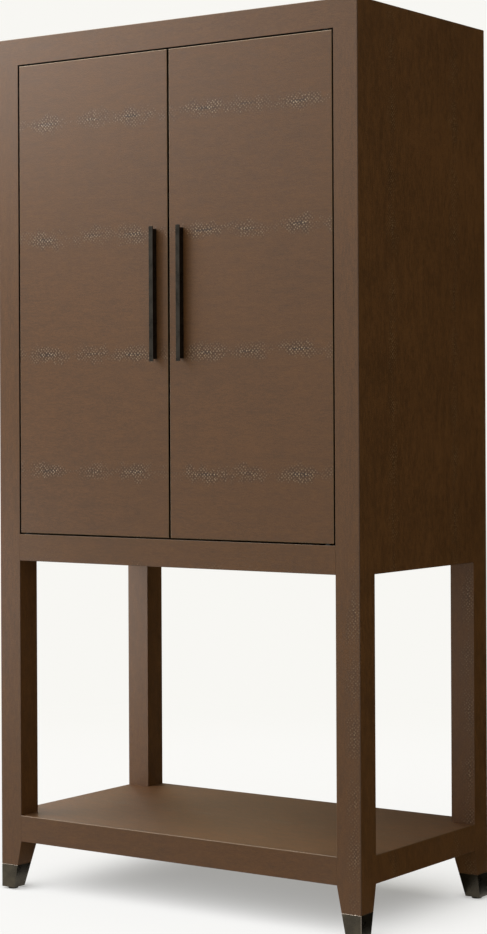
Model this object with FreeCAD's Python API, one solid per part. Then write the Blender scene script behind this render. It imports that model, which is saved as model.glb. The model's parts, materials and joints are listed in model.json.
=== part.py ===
import FreeCAD, Part
import math
import os

from FreeCAD import Vector

# A leather-wrapped bar armoire. Lengths are in millimetres, angles in degrees.
# The doors face -Y, +X is to the right and the floor is at Z = 0, under the middle of the whole piece.

# Case
overall_width = 1016.0
overall_depth = 559.0
overall_height = 2032.0
slab_thickness = 63.0
side_thickness = 18.0
liner_thickness = 12.0
back_thickness = 12.0
back_recess = 4.0
back_rebate = 10.0
tongue_thickness = 6.0
tongue_depth = 8.0
arris_chamfer = 1.2
seam_chamfer = 0.6

# Legs
leg_width = 61.5
foot_width = 38.5
foot_height = 118.0
leg_tenon_width = 30.0
leg_tenon_length = 28.0

# Lower shelf
shelf_thickness = 62.0
bay_height = 608.0
deck_thickness = 24.0
deck_bearing = 12.0
rail_tenon_thickness = 20.0
rail_tenon_height = 36.0
tenon_end_gap = 2.0

# Foot caps, levelling feet and the long nuts that they turn in
cap_height = 55.0
cap_wall = 2.0
cap_lip_chamfer = 1.0
pad_diameter = 24.0
pad_thickness = 3.0
collar_height = 2.0
collar_clearance = 0.3
hexagon_across_flats = 13.0
hexagon_sides = 6
stem_diameter = 8.0
stem_end_gap = 5.0
nut_length = 30.0
running_clearance = 0.05

# Doors
door_gap = 4.0
meeting_gap = 5.5
door_thickness = 25.0
door_arris_chamfer = 1.0

# Pivot hinges
hinge_setback = 18.0
hinge_inset = 9.0
leaf_length = 62.0
leaf_width = 13.0
leaf_thickness = 4.0
boss_clearance = 0.1
hinge_pin_diameter = 6.0
pin_end_gap = 0.5

# Pulls
bar_length = 308.0
bar_width = 11.0
bar_depth = 3.0
bar_edge_chamfer = 0.5
bar_offset = 38.0
spine_width = 8.0
spine_depth = 14.5
spine_end_inset = 6.0
pull_screw_inset = 24.0
pull_screw_diameter = 4.0
pull_screw_bite = 6.0
pull_screw_head_diameter = 8.0
pull_screw_head_height = 2.5

# Door stops and catches
stop_length = 240.0
stop_width = 22.0
stop_height = 22.0
stop_gap = 0.5
magnet_length = 32.0
magnet_height = 8.0
magnet_depth = 6.0
magnet_offset = 34.0
strike_margin = 2.0
strike_thickness = 2.0

# Bottle racks on the doors
rack_level_shares = (0.063, 0.503)
rack_board_thickness = 16.0
rack_depth = 90.0
rack_hinge_inset = 52.0
rack_meeting_inset = 52.0
rack_housing = 4.0
rack_board_radius = 12.0
gallery_height = 68.0
gallery_bar_height = 10.0
gallery_bar_thickness = 4.0
gallery_setback = 9.0
gallery_end_inset = 12.0
gallery_bend = 22.0
gallery_socket = 10.0

# Shelves inside the case
rack_clearance = 22.0
counter_thickness = 25.0
upper_shelf_level_share = 0.49
upper_shelf_thickness = 20.0
adjustable_shelf_thickness = 20.0
shelf_side_gap = 0.5
shelf_nose_radius = 3.0
cleat_width = 15.0
cleat_height = 22.0
cleat_setback = 25.0
mirror_thickness = 4.0
mirror_gap = 0.5

# Shelf pins
pin_diameter = 5.0
pin_depth = 9.0
pin_spade_length = 10.0
pin_spade_width = 9.0
pin_inset = 60.0
pin_row_shares = (0.17, 0.54)
shelf_row = 1

# Bottle rack under the counter
cell_size = 104.0
cell_columns = 4
cell_rows = 2
cell_board = 12.0

# Stemware rails under the upper shelf
stem_rail_count = 5
stem_rail_pitch = 100.0
stem_web_width = 16.0
stem_web_height = 20.0
stem_flange_width = 66.0
stem_flange_thickness = 9.0
stem_rail_setback = 20.0
stem_flange_chamfer = 10.0

# Cutting and matching
overrun = 5.0
match_tolerance = 0.001

# Places across the width
half_width = overall_width / 2
inner_x = half_width - leg_width
leg_mid_x = half_width - leg_width / 2

# Places through the depth, with the pulls in front
pull_reach = spine_depth + bar_depth
front_y = (pull_reach - overall_depth) / 2
back_y = front_y + overall_depth
front_leg_back_y = front_y + leg_width
rear_leg_front_y = back_y - leg_width
door_back_y = front_y + door_thickness
panel_back_y = back_y - back_recess
panel_front_y = panel_back_y - back_thickness
shelf_front_y = door_back_y + rack_depth + rack_clearance

# Heights
cap_bottom_z = pad_thickness + collar_height + collar_clearance
cap_top_z = cap_bottom_z + cap_height
shelf_top_z = foot_height + shelf_thickness
case_bottom_z = shelf_top_z + bay_height
floor_top_z = case_bottom_z + slab_thickness
opening_top_z = overall_height - slab_thickness
door_bottom_z = floor_top_z + door_gap
door_top_z = opening_top_z - door_gap
pull_mid_z = (door_bottom_z + door_top_z) / 2
rack_height = cell_rows * cell_size + (cell_rows - 1) * cell_board
counter_bottom_z = floor_top_z + rack_height
counter_top_z = counter_bottom_z + counter_thickness
upper_bottom_z = counter_top_z + upper_shelf_level_share * (opening_top_z - counter_top_z)
upper_top_z = upper_bottom_z + upper_shelf_thickness

# Hinge axis of the right-hand door
axis_x = inner_x - door_gap - hinge_setback
axis_y = front_y + hinge_inset

# Tenons of the two rails that meet in a leg stop short of each other
tenon_length = (leg_width - rail_tenon_thickness) / 2 - tenon_end_gap


def box(x_span, y_span, z_span):
    low = Vector(min(x_span), min(y_span), min(z_span))
    high = Vector(max(x_span), max(y_span), max(z_span))
    size = high - low
    return Part.makeBox(size.x, size.y, size.z, low)


def about(middle, width):
    return (middle - width / 2, middle + width / 2)


def rod(diameter, start, end):
    run = end - start
    return Part.makeCylinder(diameter / 2, run.Length, start, run)


def mirrored(shape):
    return shape.mirror(Vector(0, 0, 0), Vector(1, 0, 0))


def both_sides(shapes):
    return shapes + [mirrored(shape) for shape in shapes]


def edges_at(shape, **places):
    found = []
    for edge in shape.Edges:
        points = [vertex.Point for vertex in edge.Vertexes]
        offsets = [getattr(point, axis) - place for point in points for axis, place in places.items()]
        if len(points) == 2 and max(abs(offset) for offset in offsets) < match_tolerance:
            found.append(edge)
    return found


# Legs. Each function builds the right-hand piece: outer_y is the leg's outer face and inward points
# from there to the middle of the case, +1 for a front leg and -1 for a rear one.

def taper_width(z):
    rise = (z - cap_bottom_z) / (foot_height - cap_bottom_z)
    return foot_width + (leg_width - foot_width) * rise


def flat_face(corners):
    return Part.Face(Part.makePolygon(corners + corners[:1]))


# The taper is where its front view and its side view, each drawn through the whole foot, meet
def foot_taper(z_low, z_high, outer_y, inward, grow):
    outer = Vector(half_width + grow, outer_y - inward * grow, 0)
    low, high = [Vector(0, 0, z) for z in (z_low, z_high)]
    narrow, wide = [taper_width(z) + 2 * grow for z in (z_low, z_high)]
    across = Vector(-1, 0, 0)
    through = Vector(0, inward, 0)
    bottom = outer + low
    top = outer + high
    front = flat_face([bottom, bottom + across * narrow, top + across * wide, top])
    side = flat_face([bottom, bottom + through * narrow, top + through * wide, top])
    return front.extrude(through * wide).common(side.extrude(across * wide))


def foot_axis(outer_y, inward, z):
    return Vector(half_width - foot_width / 2, outer_y + inward * foot_width / 2, z)


def hexagon(base, height):
    radius = hexagon_across_flats / 2 / math.cos(math.pi / hexagon_sides)
    turns = [2 * math.pi * side / hexagon_sides for side in range(hexagon_sides)]
    corners = [base + Vector(math.cos(turn), math.sin(turn), 0) * radius for turn in turns]
    return flat_face(corners).extrude(Vector(0, 0, height))


def leg_blank(outer_y, inward):
    post = box((inner_x, half_width), (outer_y, outer_y + inward * leg_width), (foot_height, opening_top_z))
    taper = foot_taper(cap_bottom_z, foot_height, outer_y, inward, 0)
    leg = post.fuse(taper).removeSplitter()
    leg = leg.makeChamfer(arris_chamfer, edges_at(leg, x=half_width, y=outer_y))
    return leg.makeChamfer(seam_chamfer, edges_at(leg, x=inner_x, y=outer_y))


def leg_tenon(outer_y, inward):
    middle_y = outer_y + inward * leg_width / 2
    top = opening_top_z + leg_tenon_length
    return box(about(leg_mid_x, leg_tenon_width), about(middle_y, leg_tenon_width), (opening_top_z, top))


def cross_tenon(outer_y, inward, middle_z):
    middle_y = outer_y + inward * leg_width / 2
    length = (inner_x, inner_x + tenon_length)
    return box(length, about(middle_y, rail_tenon_thickness), about(middle_z, rail_tenon_height))


def side_tenon(outer_y, inward):
    face_y = outer_y + inward * leg_width
    length = (face_y, face_y - inward * tenon_length)
    middle_z = (foot_height + shelf_top_z) / 2
    return box(about(leg_mid_x, rail_tenon_thickness), length, about(middle_z, rail_tenon_height))


def side_tongue(outer_y, inward):
    face_y = outer_y + inward * leg_width
    depth = (face_y, face_y - inward * tongue_depth)
    middle_x = half_width - side_thickness / 2
    return box(about(middle_x, tongue_thickness), depth, (case_bottom_z, opening_top_z))


# The metal cap is let into the foot, flush with the leather
def cap_shell(outer_y, inward):
    outside = foot_taper(cap_bottom_z, cap_top_z, outer_y, inward, 0)
    return outside.cut(foot_taper(cap_bottom_z, cap_top_z, outer_y, inward, -cap_wall))


def leg(outer_y, inward):
    mortises = [
        cap_shell(outer_y, inward),
        hexagon(foot_axis(outer_y, inward, cap_bottom_z), nut_length),
        cross_tenon(outer_y, inward, (foot_height + shelf_top_z) / 2),
        cross_tenon(outer_y, inward, (case_bottom_z + floor_top_z) / 2),
        side_tenon(outer_y, inward),
        side_tongue(outer_y, inward),
    ]
    return leg_blank(outer_y, inward).fuse(leg_tenon(outer_y, inward)).cut(mortises)


def rear_leg():
    rebate_x = (inner_x - overrun, inner_x + back_rebate)
    rebate = box(rebate_x, (panel_front_y, back_y + overrun), (floor_top_z, opening_top_z))
    return leg(back_y, -1).cut(rebate)


# Lower shelf

def cross_rail(outer_y, inward):
    inner_y = outer_y + inward * leg_width
    rail = box((-inner_x, inner_x), (outer_y, inner_y), (foot_height, shelf_top_z))
    rail = rail.makeChamfer(arris_chamfer, edges_at(rail, y=outer_y, z=shelf_top_z))
    rail = rail.makeChamfer(seam_chamfer, edges_at(rail, y=outer_y, z=foot_height))
    bearing_y = (inner_y - inward * deck_bearing, inner_y + inward * overrun)
    bearing_z = (shelf_top_z - deck_thickness, shelf_top_z + overrun)
    bearing = box((-half_width, half_width), bearing_y, bearing_z)
    tenons = both_sides([cross_tenon(outer_y, inward, (foot_height + shelf_top_z) / 2)])
    return rail.cut(bearing).fuse(tenons)


def side_rail():
    rail = box((inner_x, half_width), (front_leg_back_y, rear_leg_front_y), (foot_height, shelf_top_z))
    rail = rail.makeChamfer(arris_chamfer, edges_at(rail, x=half_width, z=shelf_top_z))
    rail = rail.makeChamfer(seam_chamfer, edges_at(rail, x=half_width, z=foot_height))
    return rail.fuse([side_tenon(front_y, 1), side_tenon(back_y, -1)])


def shelf_deck():
    span_y = (front_leg_back_y - deck_bearing, rear_leg_front_y + deck_bearing)
    return box((-inner_x, inner_x), span_y, (shelf_top_z - deck_thickness, shelf_top_z))


# Foot caps, leg nuts and levelling feet

def foot_cap(outer_y, inward):
    outside = foot_taper(cap_bottom_z, cap_top_z, outer_y, inward, 0)
    outside = outside.makeChamfer(arris_chamfer, edges_at(outside, x=half_width, y=outer_y))
    outside = outside.makeChamfer(cap_lip_chamfer, edges_at(outside, z=cap_top_z))
    return outside.common(cap_shell(outer_y, inward))


def leg_nut(outer_y, inward):
    foot = foot_axis(outer_y, inward, cap_bottom_z)
    reach = Vector(0, 0, nut_length + overrun)
    bore = rod(stem_diameter + 2 * running_clearance, foot - reach, foot + reach)
    return hexagon(foot, nut_length).cut(bore)


def leveller(outer_y, inward):
    floor = foot_axis(outer_y, inward, 0)
    pad_top = floor + Vector(0, 0, pad_thickness)
    pad = rod(pad_diameter, floor, pad_top)
    stem_top = foot_axis(outer_y, inward, cap_bottom_z + nut_length - stem_end_gap)
    return pad.fuse([hexagon(pad_top, collar_height), rod(stem_diameter, pad_top, stem_top)]).removeSplitter()


# Case slabs and panels

def top_slab():
    slab = box((-half_width, half_width), (front_y, back_y), (opening_top_z, overall_height))
    arrises = edges_at(slab, z=overall_height)
    for x in (-half_width, half_width):
        arrises += edges_at(slab, x=x, y=front_y) + edges_at(slab, x=x, y=back_y)
    slab = slab.makeChamfer(arris_chamfer, arrises)
    mortises = both_sides([leg_tenon(front_y, 1), leg_tenon(back_y, -1)])
    return slab.cut(mortises + both_sides([leaf_plate(opening_top_z, 1)]))


def case_floor():
    core_x = half_width - side_thickness
    heights = (case_bottom_z, floor_top_z)
    band = box((-inner_x, inner_x), (front_y, back_y), heights)
    lower_arrises = edges_at(band, y=front_y, z=case_bottom_z) + edges_at(band, y=back_y, z=case_bottom_z)
    band = band.makeChamfer(seam_chamfer, lower_arrises + edges_at(band, y=front_y, z=floor_top_z))
    core = box((-core_x, core_x), (front_leg_back_y, rear_leg_front_y), heights)
    middle_z = (case_bottom_z + floor_top_z) / 2
    tenons = both_sides([cross_tenon(front_y, 1, middle_z), cross_tenon(back_y, -1, middle_z)])
    floor = band.fuse([core] + tenons).removeSplitter()
    return floor.cut(both_sides([leaf_plate(floor_top_z, -1)]))


def side_panel():
    depth = (front_leg_back_y, rear_leg_front_y)
    panel = box((half_width - side_thickness, half_width), depth, (case_bottom_z, opening_top_z))
    panel = panel.makeChamfer(seam_chamfer, edges_at(panel, x=half_width, z=case_bottom_z))
    return panel.fuse([side_tongue(front_y, 1), side_tongue(back_y, -1)])


def pin_rows():
    return [upper_top_z + share * (opening_top_z - upper_top_z) for share in pin_row_shares]


def pin_columns():
    return (shelf_front_y + pin_inset, rear_leg_front_y - pin_inset)


def liner():
    depth = (front_leg_back_y, rear_leg_front_y)
    panel = box((inner_x, inner_x + liner_thickness), depth, (floor_top_z, opening_top_z))
    return panel.cut([pin_shank(y, z) for z in pin_rows() for y in pin_columns()])


def back_panel():
    edge_x = inner_x + back_rebate
    return box((-edge_x, edge_x), (panel_front_y, panel_back_y), (floor_top_z, opening_top_z))


# Pivot hinges of the right-hand door. face_z is the surface that a leaf is let into, and into
# points from there into the wood.

def leaf_plate(face_z, into):
    heel_x = axis_x + leaf_width / 2
    length = (heel_x, heel_x - leaf_length)
    return box(length, about(axis_y, leaf_width), (face_z, face_z + into * leaf_thickness))


def hinge_pin(case_z, into):
    start = Vector(axis_x, axis_y, case_z + into * leaf_thickness)
    end = Vector(axis_x, axis_y, case_z - into * (door_gap + leaf_thickness - pin_end_gap))
    return rod(hinge_pin_diameter, start, end)


def case_leaf(case_z, into):
    seat = Vector(axis_x, axis_y, case_z)
    boss = rod(leaf_width, seat, seat - Vector(0, 0, into * (door_gap - boss_clearance)))
    return leaf_plate(case_z, into).fuse(boss).cut(hinge_pin(case_z, into))


def door_leaf(edge_z, into):
    seat = Vector(axis_x, axis_y, edge_z)
    reach = Vector(0, 0, into * (leaf_thickness + overrun))
    bore = rod(hinge_pin_diameter + 2 * running_clearance, seat - reach, seat + reach)
    return leaf_plate(edge_z, into).cut(bore)


case_hinges = ((opening_top_z, 1), (floor_top_z, -1))
door_hinges = ((door_top_z, -1), (door_bottom_z, 1))


# Right-hand door

def pull_screw_places():
    reach = bar_length / 2 - pull_screw_inset
    return [Vector(bar_offset, front_y, pull_mid_z + side * reach) for side in (-1, 1)]


def pull_screw(place):
    head_seat = Vector(place.x, door_back_y, place.z)
    tip = place - Vector(0, pull_screw_bite, 0)
    head = rod(pull_screw_head_diameter, head_seat, head_seat + Vector(0, pull_screw_head_height, 0))
    return head.fuse(rod(pull_screw_diameter, head_seat, tip)).removeSplitter()


def pull_spine():
    length = bar_length - 2 * spine_end_inset
    spine = box(about(bar_offset, spine_width), (front_y, front_y - spine_depth), about(pull_mid_z, length))
    return spine.cut([pull_screw(place) for place in pull_screw_places()])


def pull_bar():
    back = front_y - spine_depth
    bar = box(about(bar_offset, bar_width), (back - bar_depth, back), about(pull_mid_z, bar_length))
    return bar.makeChamfer(bar_edge_chamfer, bar.Edges)


def magnet_heights():
    return (opening_top_z - stop_height / 2, floor_top_z + stop_height / 2)


def strike_plate(z):
    width = about(magnet_offset, magnet_length + 2 * strike_margin)
    depth = (door_back_y - strike_thickness, door_back_y)
    return box(width, depth, about(z, magnet_height + 2 * strike_margin))


def rack_levels():
    return [door_bottom_z + share * (door_top_z - door_bottom_z) for share in rack_level_shares]


def rack_span():
    return (meeting_gap / 2 + rack_meeting_inset, inner_x - door_gap - rack_hinge_inset)


def rack_board(level):
    depth = (door_back_y - rack_housing, door_back_y + rack_depth)
    board = box(rack_span(), depth, (level, level + rack_board_thickness))
    corners = [edge for x in rack_span() for edge in edges_at(board, x=x, y=max(depth))]
    return board.makeFillet(rack_board_radius, corners)


# A flat bar on edge, bent to a U, whose two ends are let into the door
def gallery_rail(level):
    heights = about(level + rack_board_thickness + gallery_height, gallery_bar_height)
    span = (min(rack_span()) + gallery_end_inset, max(rack_span()) - gallery_end_inset)
    inner_span = (min(span) + gallery_bar_thickness, max(span) - gallery_bar_thickness)
    root_y = door_back_y - gallery_socket
    run_y = door_back_y + rack_depth - gallery_setback
    inner_y = run_y - gallery_bar_thickness
    outside = box(span, (root_y, run_y), heights)
    inside = box(inner_span, (root_y - overrun, inner_y), heights)
    outer_corners = [edge for x in span for edge in edges_at(outside, x=x, y=run_y)]
    inner_corners = [edge for x in inner_span for edge in edges_at(inside, x=x, y=inner_y)]
    outside = outside.makeFillet(gallery_bend, outer_corners)
    return outside.cut(inside.makeFillet(gallery_bend - gallery_bar_thickness, inner_corners))


def door_panel():
    width = (meeting_gap / 2, inner_x - door_gap)
    panel = box(width, (front_y, door_back_y), (door_bottom_z, door_top_z))
    panel = panel.makeChamfer(door_arris_chamfer, edges_at(panel, y=front_y))
    fittings = [leaf_plate(z, into) for z, into in door_hinges]
    fittings += [pull_screw(place) for place in pull_screw_places()]
    fittings += [strike_plate(z) for z in magnet_heights()]
    fittings += [rack_board(level) for level in rack_levels()]
    fittings += [gallery_rail(level) for level in rack_levels()]
    return panel.cut(fittings)


def door_pieces():
    return {
        "door_panel": [door_panel()],
        "handle_bar": [pull_bar()],
        "handle_spine": [pull_spine()],
        "handle_screws": [pull_screw(place) for place in pull_screw_places()],
        "door_hinge_leaves": [door_leaf(z, into) for z, into in door_hinges],
        "strike_plates": [strike_plate(z) for z in magnet_heights()],
        "rack_boards": [rack_board(level) for level in rack_levels()],
        "rack_rails": [gallery_rail(level) for level in rack_levels()],
    }


# Door stops and catches

def magnet(z):
    depth = (door_back_y + stop_gap, door_back_y + stop_gap + magnet_depth)
    return box(about(magnet_offset, magnet_length), depth, about(z, magnet_height))


def door_stop(heights):
    depth = (door_back_y + stop_gap, door_back_y + stop_gap + stop_width)
    magnets = both_sides([magnet(sum(heights) / 2)])
    return box(about(0, stop_length), depth, heights).cut(magnets)


# Shelves and fittings inside the case

def fixed_shelf(bottom_z, thickness):
    reach = inner_x - shelf_side_gap
    shelf = box((-reach, reach), (shelf_front_y, panel_front_y), (bottom_z, bottom_z + thickness))
    return shelf.makeFillet(shelf_nose_radius, edges_at(shelf, y=shelf_front_y, z=bottom_z + thickness))


def cleat(bottom_z):
    depth = (shelf_front_y + cleat_setback, panel_front_y - mirror_thickness)
    return box((inner_x - cleat_width, inner_x), depth, (bottom_z - cleat_height, bottom_z))


def mirror_panel():
    reach = inner_x - mirror_gap
    depth = (panel_front_y - mirror_thickness, panel_front_y)
    return box((-reach, reach), depth, (counter_top_z, upper_bottom_z))


def pin_shank(y, z):
    return rod(pin_diameter, Vector(inner_x, y, z), Vector(inner_x + pin_depth, y, z))


def shelf_pin(y, z):
    spade = box((inner_x - pin_spade_length, inner_x), about(y, pin_spade_width), about(z, pin_diameter))
    return spade.fuse(pin_shank(y, z))


def shelf_pin_row():
    return pin_rows()[shelf_row]


def rack_middles():
    pitch = cell_size + cell_board
    return [(column - cell_columns / 2) * pitch for column in range(cell_columns + 1)]


def rack_shelf_levels():
    pitch = cell_size + cell_board
    tops = [floor_top_z + (row + 1) * pitch for row in range(cell_rows - 1)]
    return [(top - cell_board, top) for top in tops]


def rack_half_y():
    return (shelf_front_y + panel_front_y) / 2


def rack_upright(middle_x):
    depth = (shelf_front_y, panel_front_y)
    board = box(about(middle_x, cell_board), depth, (floor_top_z, counter_bottom_z))
    laps = [
        box(about(middle_x, cell_board + overrun), (shelf_front_y - overrun, rack_half_y()), level)
        for level in rack_shelf_levels()
    ]
    return board.cut(laps)


def rack_shelf(level):
    reach = max(rack_middles()) + cell_board / 2
    board = box((-reach, reach), (shelf_front_y, panel_front_y), level)
    laps = [
        box(about(middle_x, cell_board), (rack_half_y(), panel_front_y + overrun), level)
        for middle_x in rack_middles()
    ]
    return board.cut(laps)


def stem_rail(place):
    middle_x = (place - (stem_rail_count - 1) / 2) * stem_rail_pitch
    depth = (shelf_front_y + stem_rail_setback, panel_front_y - mirror_thickness - mirror_gap)
    web_bottom = upper_bottom_z - stem_web_height
    web = box(about(middle_x, stem_web_width), depth, (web_bottom, upper_bottom_z))
    flange_z = (web_bottom - stem_flange_thickness, web_bottom)
    flange_x = about(middle_x, stem_flange_width)
    flange = box(flange_x, depth, flange_z)
    corners = [edge for x in flange_x for edge in edges_at(flange, x=x, y=min(depth))]
    return flange.makeChamfer(stem_flange_chamfer, corners).fuse(web)


# Assembly: each name is one piece, or one set of like pieces

parts = {
    "top_slab": [top_slab()],
    "case_floor": [case_floor()],
    "back_panel": [back_panel()],
    "front_shelf_rail": [cross_rail(front_y, 1)],
    "rear_shelf_rail": [cross_rail(back_y, -1)],
    "shelf_deck": [shelf_deck()],
    "leg_nuts": both_sides([leg_nut(front_y, 1), leg_nut(back_y, -1)]),
    "case_hinge_leaves": both_sides([case_leaf(z, into) for z, into in case_hinges]),
    "hinge_pins": both_sides([hinge_pin(z, into) for z, into in case_hinges]),
    "upper_door_stop": [door_stop((opening_top_z - stop_height, opening_top_z))],
    "lower_door_stop": [door_stop((floor_top_z, floor_top_z + stop_height))],
    "catch_magnets": both_sides([magnet(z) for z in magnet_heights()]),
    "serving_counter": [fixed_shelf(counter_bottom_z, counter_thickness)],
    "upper_shelf": [fixed_shelf(upper_bottom_z, upper_shelf_thickness)],
    "shelf_cleats": both_sides([cleat(counter_bottom_z), cleat(upper_bottom_z)]),
    "mirror_panel": [mirror_panel()],
    "adjustable_shelf": [fixed_shelf(shelf_pin_row() + pin_diameter / 2, adjustable_shelf_thickness)],
    "shelf_pins": both_sides([shelf_pin(y, shelf_pin_row()) for y in pin_columns()]),
    "bottle_rack_uprights": [rack_upright(middle_x) for middle_x in rack_middles()],
    "bottle_rack_shelf": [rack_shelf(level) for level in rack_shelf_levels()],
    "stemware_rails": [stem_rail(place) for place in range(stem_rail_count)],
}

right_pieces = {
    "side_panel": [side_panel()],
    "liner": [liner()],
    "shelf_rail": [side_rail()],
    "front_leg": [leg(front_y, 1)],
    "rear_leg": [rear_leg()],
    "front_foot_cap": [foot_cap(front_y, 1)],
    "rear_foot_cap": [foot_cap(back_y, -1)],
    "front_leveller": [leveller(front_y, 1)],
    "rear_leveller": [leveller(back_y, -1)],
}
right_pieces.update(door_pieces())
for name, shapes in right_pieces.items():
    parts["right_" + name] = shapes
    parts["left_" + name] = [mirrored(shape) for shape in shapes]

os.makedirs("parts", exist_ok=True)
for name, shapes in parts.items():
    shape = shapes[0] if len(shapes) == 1 else Part.makeCompound(shapes)
    shape.exportStep("parts/" + name + ".step")
print(len(parts), "pieces and sets of pieces")
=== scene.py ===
import json
import math

import bmesh
import bpy
from mathutils import Matrix, Vector

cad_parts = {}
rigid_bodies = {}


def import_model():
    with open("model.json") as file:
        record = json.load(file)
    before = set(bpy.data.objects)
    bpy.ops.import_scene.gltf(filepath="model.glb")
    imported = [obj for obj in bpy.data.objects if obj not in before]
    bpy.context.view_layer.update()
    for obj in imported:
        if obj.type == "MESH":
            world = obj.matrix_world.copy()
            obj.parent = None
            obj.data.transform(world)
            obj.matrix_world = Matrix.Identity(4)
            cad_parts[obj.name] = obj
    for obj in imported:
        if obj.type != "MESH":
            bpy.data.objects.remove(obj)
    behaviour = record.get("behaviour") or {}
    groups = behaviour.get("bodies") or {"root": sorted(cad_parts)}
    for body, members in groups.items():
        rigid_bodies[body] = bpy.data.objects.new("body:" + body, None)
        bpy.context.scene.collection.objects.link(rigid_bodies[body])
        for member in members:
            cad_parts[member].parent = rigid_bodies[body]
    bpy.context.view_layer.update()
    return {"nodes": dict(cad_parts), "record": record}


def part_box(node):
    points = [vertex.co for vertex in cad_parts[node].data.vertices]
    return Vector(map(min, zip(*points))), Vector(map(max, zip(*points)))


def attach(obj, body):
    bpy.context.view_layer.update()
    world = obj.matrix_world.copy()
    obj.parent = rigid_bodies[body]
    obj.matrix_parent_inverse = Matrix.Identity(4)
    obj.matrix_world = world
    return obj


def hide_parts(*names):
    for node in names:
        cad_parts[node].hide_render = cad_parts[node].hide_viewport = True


# A tall two-door bar cabinet wrapped in embossed leather. Lengths are in metres.

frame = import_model()
nodes = frame["nodes"]


# Shader maths

class Wire:
    def __init__(self, tree, socket=None):
        self.tree = tree
        self.socket = socket

    # any node: its type, its settings, the values or links of its sockets, and the output wanted
    def node(self, kind, settings=None, inputs=None, output=0):
        made = self.tree.nodes.new(kind)
        for name, value in (settings or {}).items():
            setattr(made, name, value)
        for name, value in (inputs or {}).items():
            if isinstance(value, Wire):
                self.tree.links.new(value.socket, made.inputs[name])
            else:
                made.inputs[name].default_value = value
        return Wire(self.tree, made.outputs[output] if made.outputs else None)

    def math(self, operation, *values):
        return self.node("ShaderNodeMath", {"operation": operation}, dict(enumerate(values)))

    def __add__(self, other):
        return self.math("ADD", self, other)

    def __sub__(self, other):
        return self.math("SUBTRACT", self, other)

    def __rsub__(self, other):
        return self.math("SUBTRACT", other, self)

    def __mul__(self, other):
        return self.math("MULTIPLY", self, other)

    def __truediv__(self, other):
        return self.math("DIVIDE", self, other)

    def __pow__(self, other):
        return self.math("POWER", self, other)

    def __gt__(self, other):
        return self.math("GREATER_THAN", self, other)

    def __lt__(self, other):
        return self.math("LESS_THAN", self, other)

    def __abs__(self):
        return self.math("ABSOLUTE", self)

    __radd__ = __add__
    __rmul__ = __mul__

    def larger(self, other):
        return self.math("MAXIMUM", self, other)

    # signed distance to the nearest whole number
    def offNearest(self):
        return self.math("FRACT", self + 0.5) - 0.5

    # 0 below low and 1 above high, smooth between them
    def rise(self, low, high):
        settings = {"interpolation_type": "SMOOTHSTEP"}
        return self.node("ShaderNodeMapRange", settings, {"Value": self, "From Min": low, "From Max": high})

    # low where this is 0 and 1 where it is 1
    def atLeast(self, low):
        return low + self * (1 - low)

    # a value between 0 and 1 as a swing about 0
    def swing(self, amount):
        return (self - 0.5) * amount

    def pick(self, ifZero, ifOne):
        return self.node("ShaderNodeMix", {"data_type": "FLOAT"}, {0: self, 2: ifZero, 3: ifOne})

    def tint(self, ifZero, ifOne):
        return self.node("ShaderNodeMix", {"data_type": "RGBA"}, {0: self, 6: ifZero, 7: ifOne}, 2)

    def scaled(self, amounts):
        return self.node("ShaderNodeVectorMath", {"operation": "MULTIPLY"}, {0: self, 1: amounts})

    def parts(self):
        return [self.node("ShaderNodeSeparateXYZ", {}, {0: self}, axis) for axis in range(3)]

    def noise(self, scale, detail=2.0, roughness=0.5):
        inputs = {"Vector": self, "Scale": scale, "Detail": detail, "Roughness": roughness}
        return self.node("ShaderNodeTexNoise", {}, inputs)

    # distance to the nearest cell's middle, in cells, and a random number for each cell
    def cells(self, size, randomness):
        inputs = {"Vector": self, "Scale": 1 / size, "Randomness": randomness}
        away = self.node("ShaderNodeTexVoronoi", {"voronoi_dimensions": "2D"}, inputs, "Distance")
        colour = Wire(self.tree, away.socket.node.outputs["Color"])
        return away, colour.parts()[0]

    def bump(self, strength, depth):
        return self.node("ShaderNodeBump", {}, {"Strength": strength, "Distance": depth, "Height": self})

    # the surface's own point and direction, in the part's frame
    def place(self):
        return self.node("ShaderNodeTexCoord", {}, {}, "Object")

    def facing(self):
        return self.node("ShaderNodeTexCoord", {}, {}, "Normal")


def newFinish(name, constants):
    finish = bpy.data.materials.new(name)
    finish.use_nodes = True
    shader = finish.node_tree.nodes["Principled BSDF"]
    for socket, value in constants.items():
        shader.inputs[socket].default_value = value
    return finish, shader, Wire(finish.node_tree)


def feed(shader, wires):
    for socket, wire in wires.items():
        wire.tree.links.new(wire.socket, shader.inputs[socket])


arrisTurn = (0.30, 0.45)


# 0 on faces square to the axes, 1 on the chamfers between them
def onArris(facing):
    nx, ny, nz = [abs(part) for part in facing.parts()]
    return (nx * ny + ny * nz + nx * nz).rise(*arrisTurn)


# the opening that the doors close, from the pieces round it
openingSlack = 0.0005
topLow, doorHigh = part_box("top_slab")[0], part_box("left_door_panel")[1]
openingLow = Vector((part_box("left_liner")[1].x, topLow.y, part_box("case_floor")[1].z))
openingHigh = Vector((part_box("right_liner")[0].x, doorHigh.y, topLow.z))


# Finishes; a noise is its scale, detail and roughness, an edge is where a mask starts and ends

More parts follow.
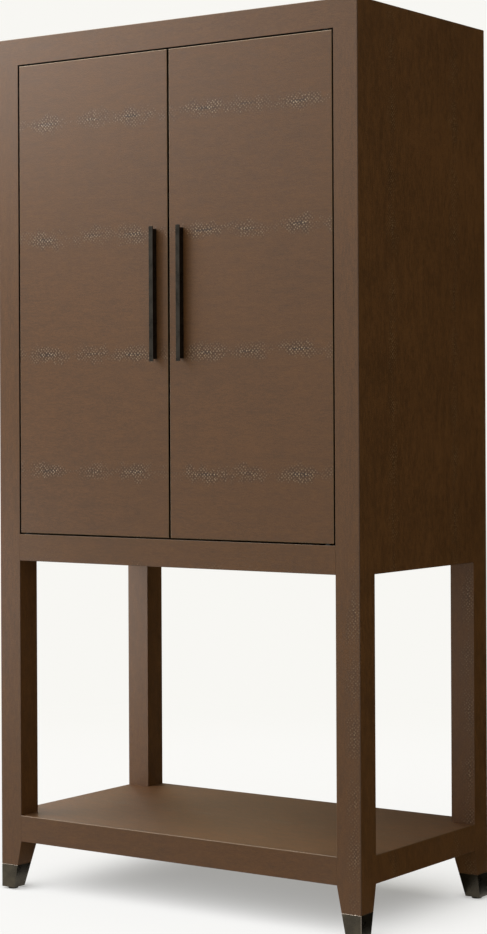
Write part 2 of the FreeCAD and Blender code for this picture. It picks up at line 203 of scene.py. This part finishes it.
leather = {
    "hideLight": (0.205, 0.0935, 0.0345, 1),
    "hideDark": (0.109, 0.0497, 0.0182, 1),
    # painted shade, between the grains and on the arrises that look away from the light
    "creviceShade": (0.050, 0.0215, 0.0078, 1),
    # painted highlight on the pearls
    "pearl": (1.0, 0.82, 0.64, 1),
    "hollowShade": (0.036, 0.014, 0.005, 1),         # painted shade between the pearls
    # lighter worn arrises, and a painted highlight on those that look up or to the left
    "wearAndHighlight": (0.75, 0.63, 0.50, 1),
    "gapShade": (0.014, 0.008, 0.005, 1),      # painted shade, near-black, on the faces that look into the door gaps
    "skinWidth": 0.257,         # the emboss repeats at these two sizes
    "skinHeight": 0.273,
    "frontRow": {"door": 0.184, "case": 0.229},     # height of one row of pearls on the fronts
    "frontPatch": 0.102,        # its brightest patch, from the middle of the case
    "sideRow": -0.130,          # the skins hang upright on the sides
    "sidePatch": 1.287,
    "legRow": 0.493,            # and on the legs
    "legPatch": 0.700,
    "legFade": (0.72, 0.86),    # the pearls fade out on the posts beside the doors
    "rowBends": (9.0,),
    "rowBendReach": 0.016,
    "strayGrains": (42.0, 3.0, 0.6),
    "coreHalf": (0.040, 0.0060),
    "coreFray": 1.2,
    "fieldHalf": (0.070, 0.023),
    "fieldFray": 2.2,
    "patchEdge": (0.35, 1.15),
    "ridgeEdge": (0.0010, 0.0035),
    "ridgeBreaks": (0.40, 0.60),
    "faintPatch": 0.45,         # place of the second, fainter patch in the repeat
    "faintShare": 0.75,
    "fieldShare": 0.50,
    "ridgeShare": 0.25,
    "pearlShare": {"door": 1.0, "leg": 0.45, "case": 0.40},
    "pebbleSize": 0.0021,
    "pebbleStray": 0.85,        # 0 is a square lattice
    "pebbleEdge": (0.08, 0.62),
    "pearlPitch": 0.0063,
    "pearlStray": 0.45,
    "pearlEdge": (0.10, 0.38),
    "streak": 0.25,             # the hide's finer clouds are drawn out across the skin
    "cloudNoises": ((5.0, 2.0), (60.0, 3.0, 0.6), (240.0, 3.0, 0.6)),
    "cloudShares": (0.20, 0.40, 0.40),
    "cloudSpread": {"front": 0.27, "side": 0.16, "top": 0.14},
    "creviceShare": 0.40,
    "pebbleShare": 0.16,        # from one pebble to the next
    "hollowShare": 0.95,
    "dullPearlShare": 0.13,
    "pearlRangeShare": 0.48,    # painted highlight, from the dullest pearl to the brightest
    "facingLightTurn": (-0.3, 0.3),    # painted highlight on arrises that look up or to the left, painted shade on the others
    "facingLightLeast": 0.25,
    "wearAndHighlightLeast": 0.6,
    "wearAndHighlightShare": {"door": 1.0, "leg": 0.30, "case": 0.25},
    "arrisShadeShare": {"door": 0.0, "leg": 0.85, "case": 0.85},
    "doorEndTurn": 0.9,
    "roughness": 0.50,
    "cloudRough": 0.16,
    "pearlSmooth": 0.10,
    "pebbleRelief": 0.5,
    "pebbleSunk": 0.7,          # among the pearls
    "bump": (0.45, 0.0005),
}


def leatherFinish(kind):
    finish, shader, start = newFinish(kind + "Leather", {"Specular IOR Level": 0.5})
    place, facing = start.place(), start.facing()
    x, y, z = place.parts()
    towardX, towardY, towardZ = facing.parts()
    nx, ny, nz = abs(towardX), abs(towardY), abs(towardZ)
    onSide = (nx > ny) * (nx > nz)
    onTop = (nz > ny) * (nz > nx)

    # the skin's own plane on each face, in metres; it hangs upright on the sides and the legs
    width, height = leather["skinWidth"], leather["skinHeight"]
    if kind == "leg":
        frontAcross, frontAlong = z, x
        frontPatch, frontRow = z - leather["legPatch"], x - leather["legRow"]
    else:
        frontAcross, frontAlong = x, z
        frontPatch, frontRow = abs(x) - leather["frontPatch"], z - leather["frontRow"][kind]
    across = onTop.pick(onSide.pick(frontAcross, z), x)
    along = onTop.pick(onSide.pick(frontAlong, y), y)
    patch = onSide.pick(frontPatch, z - leather["sidePatch"]) / width
    row = onTop.pick(onSide.pick(frontRow, y - leather["sideRow"]), y) / height
    skin = start.node("ShaderNodeCombineXYZ", {}, {0: across, 1: along})
    slant = start.node("ShaderNodeCombineXYZ", {}, {0: across + along, 1: along - across})

    # pearls gather in patches along the rows, with uneven edges
    stray = place.noise(*leather["strayGrains"])
    offRow = row.offNearest() * height + place.noise(*leather["rowBends"]).swing(leather["rowBendReach"])

    def patchMask(half, shift, fray):
        offPatch = (patch - shift).offNearest() * width
        reach = ((offPatch / half[0]) ** 2 + (offRow / half[1]) ** 2) ** 0.5
        return 1 - (reach + stray.swing(fray)).rise(*leather["patchEdge"])

    def patches(half, fray):
        faint = patchMask(half, leather["faintPatch"], fray) * leather["faintShare"]
        return patchMask(half, 0.0, fray).larger(faint)

    core = patches(leather["coreHalf"], leather["coreFray"])
    field = patches(leather["fieldHalf"], leather["fieldFray"])
    ridge = (1 - abs(offRow).rise(*leather["ridgeEdge"])) * stray.rise(*leather["ridgeBreaks"])
    pearly = core.larger(field * leather["fieldShare"]).larger(ridge * leather["ridgeShare"])
    pearly = pearly * leather["pearlShare"][kind]
    if kind == "leg":
        pearly = pearly * (1 - z.rise(*leather["legFade"]))

    # fine pebbles everywhere, pearls on a diagonal lattice in the patches
    pebbleOff, pebbleKind = skin.cells(leather["pebbleSize"], leather["pebbleStray"])
    pearlOff, pearlKind = slant.cells(leather["pearlPitch"] * 2 ** 0.5, leather["pearlStray"])
    pebble = 1 - pebbleOff.rise(*leather["pebbleEdge"])
    pearl = 1 - pearlOff.rise(*leather["pearlEdge"])
    raised = pearly * pearl

    # colour: cloudy hide, painted shade between the grains and between the pearls, painted highlights on the
    # pearls, and lighter worn arrises with painted highlights and painted shade
    streaky = skin.scaled((leather["streak"], 1, 1))
    clouds = [over.noise(*look) for over, look in zip((place, streaky, streaky), leather["cloudNoises"])]
    broad, drawn, fine = [each * share for each, share in zip(clouds, leather["cloudShares"])]
    cloud = broad + drawn + fine
    spreads = leather["cloudSpread"]
    spread = onTop.pick(onSide.pick(spreads["front"], spreads["side"]), spreads["top"])
    hide = cloud.rise(0.5 - spread, 0.5 + spread).tint(leather["hideDark"], leather["hideLight"])
    # painted shade between the pebbles, with a random tone for each pebble
    creviceShadeAndTone = (1 - pebble) * leather["creviceShare"] + pebbleKind * leather["pebbleShare"]
    hide = creviceShadeAndTone.tint(hide, leather["creviceShade"])
    # painted shade in the hollows between the pearls
    hide = (pearly * (1 - pearl) * leather["hollowShare"]).tint(hide, leather["hollowShade"])
    # painted highlight: the raised pearls are tinted towards near-white
    pearlGlint = leather["dullPearlShare"] + pearlKind * leather["pearlRangeShare"]
    hide = (raised * pearlGlint).tint(hide, leather["pearl"])
    # arrises: worn and lighter, with a painted highlight on those that look up or to the left and painted
    # shade on those that look right or down
    arris = onArris(facing)
    facingLight = (towardZ - towardX).rise(*leather["facingLightTurn"])
    wearAndHighlight = cloud.atLeast(leather["wearAndHighlightLeast"]) * facingLight.atLeast(leather["facingLightLeast"])
    hide = (arris * wearAndHighlight * leather["wearAndHighlightShare"][kind]).tint(hide, leather["wearAndHighlight"])
    hide = (arris * (1 - facingLight) * leather["arrisShadeShare"][kind]).tint(hide, leather["creviceShade"])
    # painted shade in the door gaps: the doors' ends and the case's faces inside the opening are near-black
    # and metallic, so they take no diffuse light
    if kind == "door":
        inGap = nx.larger(nz) > leather["doorEndTurn"]
    else:
        inGap = abs(x) < openingHigh.x + openingSlack
        inGap = inGap * (y > openingLow.y + openingSlack) * (y < openingHigh.y)
        inGap = inGap * (z > openingLow.z - openingSlack) * (z < openingHigh.z + openingSlack)
    hide = inGap.tint(hide, leather["gapShade"])

    relief = pebble * (1 - pearly * leather["pebbleSunk"]) * leather["pebbleRelief"] + raised
    rough = leather["roughness"] + cloud.swing(leather["cloudRough"]) - raised * leather["pearlSmooth"]
    normal = relief.bump(*leather["bump"])
    feed(shader, {"Base Color": hide, "Metallic": inGap, "Roughness": rough, "Normal": normal})
    return finish


wood = {
    "early": (0.118, 0.066, 0.036, 1),
    "late": (0.066, 0.035, 0.019, 1),
    "pore": (0.024, 0.013, 0.008, 1),
    "stretch": 0.045,           # the figure is drawn out along the grain
    "figure": (14.0, 2.0),
    "figureRings": 9.0,
    "ripple": (90.0, 2.0),
    "rippleRings": 0.8,
    "fibre": (420.0, 3.0, 0.65),
    "fibreShare": 0.35,
    "pores": (900.0, 1.0),
    "poreEdge": (0.60, 0.72),
    "poreLeast": 0.4,
    "poreShare": 0.8,
    "arrisShare": 0.25,
    "roughness": 0.48,
    "fibreRough": 0.2,
    "poreRough": 0.2,
    "fibreRelief": 0.35,
    "bump": (0.35, 0.00025),
}


def woodFinish(axis):
    finish, shader, start = newFinish("stainedWood" + "XYZ"[axis], {"Specular IOR Level": 0.25})
    place, facing = start.place(), start.facing()
    stretch = [1.0, 1.0, 1.0]
    stretch[axis] = wood["stretch"]
    grain = place.scaled(stretch)
    figure = grain.noise(*wood["figure"]) * wood["figureRings"]
    figure = figure + grain.noise(*wood["ripple"]) * wood["rippleRings"]
    band = abs(figure.offNearest()) * 2
    fibre = grain.noise(*wood["fibre"])
    pore = grain.noise(*wood["pores"]).rise(*wood["poreEdge"]) * band.atLeast(wood["poreLeast"])
    late = band * (1 - wood["fibreShare"]) + fibre * wood["fibreShare"]
    colour = late.tint(wood["early"], wood["late"])
    colour = (pore * wood["poreShare"]).tint(colour, wood["pore"])
    colour = (onArris(facing) * wood["arrisShare"]).tint(colour, wood["early"])
    relief = fibre * wood["fibreRelief"] - pore
    rough = wood["roughness"] + fibre.swing(wood["fibreRough"]) + pore * wood["poreRough"]
    feed(shader, {"Base Color": colour, "Roughness": rough, "Normal": relief.bump(*wood["bump"])})
    return finish


bronze = {
    "cap": {"dark": (0.056, 0.048, 0.036, 1), "warm": (0.090, 0.076, 0.054, 1)},
    "pull": {"dark": (0.024, 0.0215, 0.018, 1), "warm": (0.044, 0.039, 0.032, 1)},
    "lip": (0.46, 0.39, 0.33, 1),
    "lipTurn": 0.2,
    "lipShare": {"cap": 0.90, "pull": 0.05},        # worn bronze and a painted highlight, on the arrises round the top
    "arrisShare": {"cap": 0.35, "pull": 0.05},      # worn bronze and a fainter painted highlight, on the upright ones
    "patina": (34.0, 5.0, 0.62),
    "patinaEdge": (0.32, 0.72),
    "specks": (700.0, 2.0),
    "roughness": 0.30,
    "patinaRough": 0.30,
    "speckRough": 0.12,
    "bump": (0.12, 0.0001),
}


def bronzeFinish(kind):
    finish, shader, start = newFinish(kind + "Bronze", {"Metallic": 0.9})
    place, facing = start.place(), start.facing()
    patina = place.noise(*bronze["patina"])
    speck = place.noise(*bronze["specks"])
    colour = patina.rise(*bronze["patinaEdge"]).tint(bronze[kind]["dark"], bronze[kind]["warm"])
    # lighter worn bronze on the arrises, with a painted highlight strongest on the caps' top lip
    onLip = abs(facing.parts()[2]) > bronze["lipTurn"]
    wearAndHighlight = onLip.pick(bronze["arrisShare"][kind], bronze["lipShare"][kind])
    colour = (onArris(facing) * wearAndHighlight).tint(colour, bronze["lip"])
    rough = bronze["roughness"] + patina.swing(bronze["patinaRough"]) + speck.swing(bronze["speckRough"])
    feed(shader, {"Base Color": colour, "Roughness": rough, "Normal": speck.bump(*bronze["bump"])})
    return finish


# blackened steel of the fittings
steel = {
    "light": (0.036, 0.035, 0.034, 1),
    "dull": (0.018, 0.0175, 0.017, 1),
    "brushing": (0.03, 1, 1),
    "brushMarks": (2600.0, 2.0),
    "tarnish": (60.0, 4.0),
    "tarnishShare": 0.6,
    "tarnishEdge": (0.3, 0.7),
    "roughness": 0.46,
    "brushRough": 0.25,
    "tarnishRough": 0.2,
    "bump": (0.10, 0.00005),
}


def steelFinish():
    finish, shader, start = newFinish("hingeSteel", {"Metallic": 1.0})
    place = start.place()
    brushed = place.scaled(steel["brushing"]).noise(*steel["brushMarks"])
    tarnish = place.noise(*steel["tarnish"])
    lit = tarnish * steel["tarnishShare"] + brushed * (1 - steel["tarnishShare"])
    colour = lit.rise(*steel["tarnishEdge"]).tint(steel["dull"], steel["light"])
    rough = steel["roughness"] + brushed.swing(steel["brushRough"]) + tarnish.swing(steel["tarnishRough"])
    feed(shader, {"Base Color": colour, "Roughness": rough, "Normal": brushed.bump(*steel["bump"])})
    return finish


mirror = {
    "clear": (0.80, 0.81, 0.80, 1),
    "smoky": (0.50, 0.47, 0.43, 1),
    "foxing": (7.0, 6.0, 0.7),
    "spots": (160.0, 3.0),
    "spotShare": 0.3,
    "foxingEdge": (0.55, 0.72),
    "smokyShare": 0.55,
    "roughness": 0.03,
    "foxingRough": 0.10,
}


def mirrorFinish():
    finish, shader, start = newFinish("mirrorGlass", {"Metallic": 1.0})
    place = start.place()
    spots = place.noise(*mirror["spots"]) * mirror["spotShare"]
    foxing = (place.noise(*mirror["foxing"]) * (1 - mirror["spotShare"]) + spots).rise(*mirror["foxingEdge"])
    colour = (foxing * mirror["smokyShare"]).tint(mirror["clear"], mirror["smoky"])
    feed(shader, {"Base Color": colour, "Roughness": mirror["roughness"] + foxing * mirror["foxingRough"]})
    return finish


pad = {
    "black": (0.010, 0.010, 0.011, 1),
    "scuffed": (0.030, 0.029, 0.028, 1),
    "scuffs": (240.0, 4.0, 0.65),
    "scuffEdge": (0.45, 0.75),
    "grit": (2200.0, 2.0),
    "roughness": 0.52,
    "scuffRough": 0.3,
    "bump": (0.2, 0.0001),
}


def padFinish():
    finish, shader, start = newFinish("blackPad", {"Specular IOR Level": 0.4})
    place = start.place()
    scuff = place.noise(*pad["scuffs"])
    grit = place.noise(*pad["grit"])
    rough = pad["roughness"] + scuff.swing(pad["scuffRough"])
    colour = scuff.rise(*pad["scuffEdge"]).tint(pad["black"], pad["scuffed"])
    feed(shader, {"Base Color": colour, "Roughness": rough, "Normal": grit.bump(*pad["bump"])})
    return finish


uprightWood = ("left_liner", "right_liner", "back_panel", "bottle_rack_uprights")
frontToBackWood = ("shelf_cleats", "stemware_rails")
woods = [woodFinish(axis) for axis in range(3)]
leathers = {kind: leatherFinish(kind) for kind in leather["pearlShare"]}
bronzes = {kind: bronzeFinish(kind) for kind in ("cap", "pull")}
finishes = {"hinge_steel": steelFinish(), "mirror_glass": mirrorFinish(), "black_foot": padFinish()}


def finishOf(name, slot):
    if slot == "shagreen_leather":
        kind = "door" if name.endswith("door_panel") else "leg" if name.endswith("_leg") else "case"
        return leathers[kind]
    if slot == "dark_bronze":
        return bronzes["cap" if name.endswith("_cap") else "pull"]
    woodAxis = 2 if name in uprightWood else 1 if name in frontToBackWood else 0
    return finishes.get(slot, woods[woodAxis])


for row in frame["record"]["subparts"]:
    dressed = nodes[row["node"]].data.materials
    dressed.clear()
    dressed.append(finishOf(row["node"], row["material_slot"]))
print("finishes:", len(woods) + len(leathers) + len(bronzes) + len(finishes), "materials on the CAD nodes")


# Small pieces

pieces = []


def addPiece(name, bm, finish, body, replaced=()):
    mesh = bpy.data.meshes.new(name)
    bmesh.ops.recalc_face_normals(bm, faces=bm.faces)
    bm.to_mesh(mesh)
    bm.free()
    mesh.materials.append(finish)
    piece = bpy.data.objects.new(name, mesh)
    bpy.context.scene.collection.objects.link(piece)
    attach(piece, body)
    if replaced:
        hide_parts(*replaced)
    pieces.append(piece)


def standing(place, axis):
    turn = Vector((0, 0, 1)).rotation_difference(Vector(axis)).to_matrix().to_4x4()
    return Matrix.Translation(place) @ turn


# rings of (radius, height) from the bottom up, joined by quads
def turned(bm, profile, sides, stand):
    rings = []
    for radius, height in profile:
        turns = [2 * math.pi * side / sides for side in range(sides)]
        points = [Vector((radius * math.cos(turn), radius * math.sin(turn), height)) for turn in turns]
        rings.append([bm.verts.new(stand @ point) for point in points])
    for low, high in zip(rings, rings[1:]):
        for side in range(sides):
            after = (side + 1) % sides
            bm.faces.new((low[side], low[after], high[after], high[side]))
    return rings


def arc(radius, middle, fromTurn, toTurn, steps):
    turns = [math.radians(fromTurn + (toTurn - fromTurn) * step / steps) for step in range(steps + 1)]
    return [(middle[0] + radius * math.cos(turn), middle[1] + radius * math.sin(turn)) for turn in turns]


foot = {
    "padHigh": 0.003,
    "edge": 0.0012,
    "edgeSteps": 4,
    "sides": 40,
    "hollowDeep": 0.0008,       # under the pad
    "hollowShares": (0.5, 0.55),
    "collarHigh": 0.002,
    "collarWide": 0.0075,
    "collarEdge": 0.0006,
    "collarSides": 6,
    "stem": 0.004,
}


def levellingFoot(corner):
    node = corner + "_leveller"
    low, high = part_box(node)
    middle = (low + high) / 2
    stand = Matrix.Translation((middle.x, middle.y, low.z))
    radius = (high.x - low.x) / 2
    edge, top, steps = foot["edge"], foot["padHigh"], foot["edgeSteps"]
    inner, outer = [radius * share for share in foot["hollowShares"]]
    padLine = [(inner, foot["hollowDeep"]), (outer, 0.0)] + arc(edge, (radius - edge, edge), -90, 0, steps)
    padLine += arc(edge, (radius - edge, top - edge), 0, 90, steps)
    wide, ease = foot["collarWide"], foot["collarEdge"]
    collarTop = top + foot["collarHigh"]
    collarLine = [(wide - ease, top), (wide, top + ease), (wide, collarTop - ease), (wide - ease, collarTop)]
    stemLine = [(foot["stem"], top), (foot["stem"], high.z - low.z)]
    bm = bmesh.new()
    shapes = ((padLine, foot["sides"]), (collarLine, foot["collarSides"]), (stemLine, foot["sides"]))
    for line, sides in shapes:
        rings = turned(bm, line, sides, stand)
        bm.faces.new(rings[0])
        bm.faces.new(rings[-1])
    addPiece(corner + "_levelling_foot", bm, finishes["black_foot"], corner + "_foot", [node])


corners = ("left_front", "right_front", "left_rear", "right_rear")
for corner in corners:
    levellingFoot(corner)
print("levelling feet:", len(corners))


screwShares = {
    "flat": 0.72,               # of the head's radius
    "shoulder": 0.35,           # of the crown's height
    "dome": 0.78,
    "arm": 0.78,                # of the flat's radius
    "slot": 0.20,
    "slotFloor": 0.7,           # of the slot at the top
}


# a round head with a cross cut into it; low is how far its rim reaches below the surface
def screwHead(bm, place, axis, look):
    stand = standing(place, axis)
    radius, crown, sides = look["radius"], look["crown"], look["sides"]
    flat = radius * screwShares["flat"]
    dome = ((radius + flat) / 2, crown * screwShares["dome"])
    rim = [(radius, -look["low"]), (radius, crown * screwShares["shoulder"]), dome, (flat, crown)]
    rings = turned(bm, rim, sides, stand)
    bm.faces.new(rings[0])
    arm, half, narrow = flat * screwShares["arm"], flat * screwShares["slot"], screwShares["slotFloor"]
    cross = [(half, arm), (half, half), (arm, half), (arm, -half), (half, -half), (half, -arm)]
    cross += [(-a, -b) for a, b in cross]
    upper = [bm.verts.new(stand @ Vector((a, b, crown))) for a, b in cross]
    lower = [bm.verts.new(stand @ Vector((a * narrow, b * narrow, crown - look["cut"]))) for a, b in cross]
    for side in range(len(cross)):
        after = (side + 1) % len(cross)
        bm.faces.new((upper[side], upper[after], lower[after], lower[side]))
    bm.faces.new(lower)
    loops = (rings[-1], upper)
    edges = [bm.edges.get((loop[side], loop[side - 1])) for loop in loops for side in range(len(loop))]
    bmesh.ops.triangle_fill(bm, edges=edges, use_beauty=True)


panScrew = {"radius": 0.0042, "crown": 0.0024, "low": 0.0002, "cut": 0.0013, "sides": 28}
flatScrew = {"radius": 0.0038, "crown": 0.00012, "low": 0.0010, "cut": 0.0012, "sides": 28}
smallScrew = {"radius": 0.0022, "crown": 0.00010, "low": 0.0008, "cut": 0.0008, "sides": 20}
backScrews = {"rows": 5, "margin": 0.060, "inset": 0.005}
leafScrewShares = (0.18, 0.50)
strikeScrewShares = (0.14, 0.86)


def addScrews(name, seats, look, body, replaced=()):
    bm = bmesh.new()
    for place, axis in seats:
        screwHead(bm, place, axis, look)
    addPiece(name, bm, finishes["hinge_steel"], body, replaced)


def between(low, high, share):
    return low + (high - low) * share


low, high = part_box("back_panel")
seats = []
inset, margin, rows = backScrews["inset"], backScrews["margin"], backScrews["rows"]
for x in (low.x + inset, high.x - inset):
    for row in range(rows):
        z = between(low.z + margin, high.z - margin, row / (rows - 1))
        seats.append(((x, high.y, z), (0, 1, 0)))
addScrews("back_panel_screws", seats, panScrew, "case")

stops = ("lower_door_stop", "upper_door_stop")
stopHeights = [sum(corner.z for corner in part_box(stop)) / 2 for stop in stops]
caseSeats = []
for side, sign in (("left", -1), ("right", 1)):
    door = side + "_door"
    low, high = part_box(door + "_hinge_leaves")
    y = (low.y + high.y) / 2
    fromToe = [share if sign > 0 else 1 - share for share in leafScrewShares]
    xs = [between(low.x, high.x, share) for share in fromToe]
    doorSeats = [((x, y, high.z), (0, 0, 1)) for x in xs] + [((x, y, low.z), (0, 0, -1)) for x in xs]
    addScrews(door + "_hinge_screws", doorSeats, flatScrew, door)
    caseSeats += [((x, y, openingHigh.z), (0, 0, -1)) for x in xs]
    caseSeats += [((x, y, openingLow.z), (0, 0, 1)) for x in xs]

    low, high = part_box(side + "_strike_plates")
    xs = [between(low.x, high.x, share) for share in strikeScrewShares]
    strikeSeats = [((x, high.y, z), (0, 1, 0)) for x in xs for z in stopHeights]
    addScrews(side + "_strike_screws", strikeSeats, smallScrew, door)

    low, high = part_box(side + "_handle_screws")
    middle = (low + high) / 2
    headHalf = (high.x - low.x) / 2
    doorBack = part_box(door + "_panel")[1].y
    pullSeats = [((middle.x, doorBack, z), (0, 1, 0)) for z in (low.z + headHalf, high.z - headHalf)]
    addScrews(side + "_pull_screws", pullSeats, panScrew, door, [side + "_handle_screws"])
addScrews("case_hinge_screws", caseSeats, flatScrew, "case")
print("screws: back panel, hinges, strikes and pulls")


# Stage: a pale floor that fades into the background, lamps, and dark cards that only reflections meet

backdrop = {"colour": (0.939, 0.931, 0.896, 1), "ambient": (0.355, 0.290, 0.155, 1)}
floorLook = {
    "half": 30.0,
    "albedo": (0.20, 0.20, 0.20, 1),
    "lift": (0.345, 0.344, 0.336, 1),
    "fade": (1.8, 3.4),         # from the middle of the cabinet
}
cards = {
    "colour": (0.004, 0.004, 0.004, 1),
    "uprights": {               # two corners on the floor, and the height
        "rightCard": ((-0.6, 3.6), (4.4, 0.2), 4.0),
        "leftCard": ((-2.35, 2.2), (-0.5, 3.6), 4.0),
        "footCard": ((0.20, 0.13), (0.53, 0.13), 0.11),
    },
    "floors": {                 # opposite corners
        "innerCard": ((-0.42, -0.26), (0.46, 3.6)),
        "outerCard": ((0.535, -0.26), (4.4, 3.6)),
        "frontCard": ((-0.50, -1.15), (0.15, -0.60)),
    },
    "floorLift": 0.001,
}
lamps = {
    "key": {"place": (-1.7, -1.27, 2.65), "aim": (0.0, -0.3, 1.4), "size": 1.2, "energy": 28.5},
    "left": {"place": (-1.4, -0.35, 0.6), "aim": (-0.2, 0.1, 0.3), "size": 0.6, "energy": 6.5},
    "top": {"place": (-1.0, -1.4, 5.2), "aim": (0.0, -0.2, 0.6), "size": 3.0, "energy": 84.0},
    "back": {"place": (-1.5, 1.7, 1.5), "aim": (0.0, 0.0, 0.18), "size": 1.2, "energy": 5.1},
}
lampColour = (1.0, 0.985, 0.96)
lampTints = {"back": (1.0, 0.80, 0.52)}
floorSun = {"from": (-0.08, -0.52, 0.85), "angle": 80.0, "energy": 10.5, "color": (0.96, 0.97, 0.985)}
floorShade = ("shelf_deck", "_foot_cap", "_levelling_foot")     # what darkens the floor
eye = {
    "place": (3.08148, -4.37162, 1.14998),
    "turn": 0.611459,
    "roll": -0.004624,
    "lens": 87.017,
    "shiftY": -0.063519,
    "farthest": 100.0,
}


def seenDirectly(start):
    camera = start.node("ShaderNodeLightPath", {}, {}, "Is Camera Ray")
    rays = camera.socket.node.outputs
    glossy, through = [Wire(start.tree, rays[name]) for name in ("Is Glossy Ray", "Is Transmission Ray")]
    return camera.larger(glossy).larger(through)


def sheet(name, corners, finish):
    bm = bmesh.new()
    bm.faces.new([bm.verts.new(corner) for corner in corners])
    mesh = bpy.data.meshes.new(name)
    bm.to_mesh(mesh)
    bm.free()
    mesh.materials.append(finish)
    made = bpy.data.objects.new(name, mesh)
    bpy.context.scene.collection.objects.link(made)
    return made


def flat(low, high, z):
    return [(low[0], low[1], z), (high[0], low[1], z), (high[0], high[1], z), (low[0], high[1], z)]


def addFloor():
    finish = bpy.data.materials.new("paleFloor")
    finish.use_nodes = True
    tree = finish.node_tree
    tree.nodes.clear()
    start = Wire(tree)
    x, y = start.place().parts()[:2]
    away = ((x ** 2 + y ** 2) ** 0.5).rise(*floorLook["fade"])
    direct = seenDirectly(start)
    matte = start.node("ShaderNodeBsdfDiffuse", {}, {"Color": floorLook["albedo"]})
    lift = start.node("ShaderNodeEmission", {}, {"Color": floorLook["lift"], "Strength": direct})
    near = start.node("ShaderNodeAddShader", {}, {0: matte, 1: lift})
    glow = start.node("ShaderNodeEmission", {}, {"Color": backdrop["colour"], "Strength": direct})
    lit = start.node("ShaderNodeMixShader", {}, {0: away, 1: near, 2: glow})
    clear = start.node("ShaderNodeBsdfTransparent")
    behind = start.node("ShaderNodeNewGeometry", {}, {}, "Backfacing")
    surface = start.node("ShaderNodeMixShader", {}, {0: behind, 1: lit, 2: clear})
    start.node("ShaderNodeOutputMaterial", {}, {"Surface": surface})
    half = floorLook["half"]
    floor = sheet("floor", flat((-half, -half), (half, half), 0.0), finish)
    floor.visible_diffuse = False
    return floor


def addCards():
    finish = newFinish("blackCard", {"Base Color": cards["colour"], "Specular IOR Level": 0.0})[0]
    made = []
    for name, (low, high) in cards["floors"].items():
        made.append(sheet(name, flat(low, high, cards["floorLift"]), finish))
    for name, (left, right, high) in cards["uprights"].items():
        corners = [(*left, 0.0), (*right, 0.0), (*right, high), (*left, high)]
        made.append(sheet(name, corners, finish))
    for card in made:
        card.visible_camera = card.visible_diffuse = card.visible_shadow = False


def addBackdrop():
    world = bpy.data.worlds.new("studio")
    bpy.context.scene.world = world
    world.use_nodes = True
    world.node_tree.nodes.clear()
    start = Wire(world.node_tree)
    ambient = start.node("ShaderNodeBackground", {}, {"Color": backdrop["ambient"]})
    white = start.node("ShaderNodeBackground", {}, {"Color": backdrop["colour"]})
    mixed = start.node("ShaderNodeMixShader", {}, {0: seenDirectly(start), 1: ambient, 2: white})
    start.node("ShaderNodeOutputWorld", {}, {"Surface": mixed})


def gathered(name, members):
    group = bpy.data.collections.new(name)
    for member in members:
        group.objects.link(member)
    return group


def addLamp(name, kind, place, aim, settings, lit, shade=None):
    lamp = bpy.data.lights.new(name, kind)
    for key, value in settings.items():
        setattr(lamp, key, value)
    made = bpy.data.objects.new(name, lamp)
    made.location = place
    made.rotation_mode = "QUATERNION"
    made.rotation_quaternion = (Vector(aim) - Vector(place)).to_track_quat("-Z", "Y")
    made.light_linking.receiver_collection = lit
    made.light_linking.blocker_collection = shade
    bpy.context.scene.collection.objects.link(made)


def addLamps(floor):
    cabinet = gathered("cabinet", list(nodes.values()) + pieces)
    for name, look in lamps.items():
        colour = lampTints.get(name, lampColour)
        settings = {"energy": look["energy"], "size": look["size"], "color": colour}
        addLamp(name, "AREA", look["place"], look["aim"], settings, cabinet)
    low = [shown for shown in cabinet.objects if shown.name.endswith(floorShade)]
    angle = math.radians(floorSun["angle"])
    settings = {"energy": floorSun["energy"], "angle": angle, "color": floorSun["color"]}
    ground, shade = gathered("ground", [floor]), gathered("shade", low)
    addLamp("floorSun", "SUN", floorSun["from"], (0, 0, 0), settings, ground, shade)


def addCamera():
    camera = bpy.data.objects.new("camera", bpy.data.cameras.new("camera"))
    camera.data.lens = eye["lens"]
    camera.data.shift_y = eye["shiftY"]
    camera.data.clip_end = eye["farthest"]
    turn = Matrix.Rotation(eye["turn"], 4, "Z") @ Matrix.Rotation(math.radians(90), 4, "X")
    camera.matrix_world = Matrix.Translation(eye["place"]) @ turn @ Matrix.Rotation(eye["roll"], 4, "Z")
    bpy.context.scene.collection.objects.link(camera)
    bpy.context.scene.camera = camera


addLamps(addFloor())
addCards()
addBackdrop()
addCamera()
bpy.context.scene.view_settings.view_transform = "Standard"
print("stage: floor, cards,", len(lamps) + 1, "lamps and the camera")
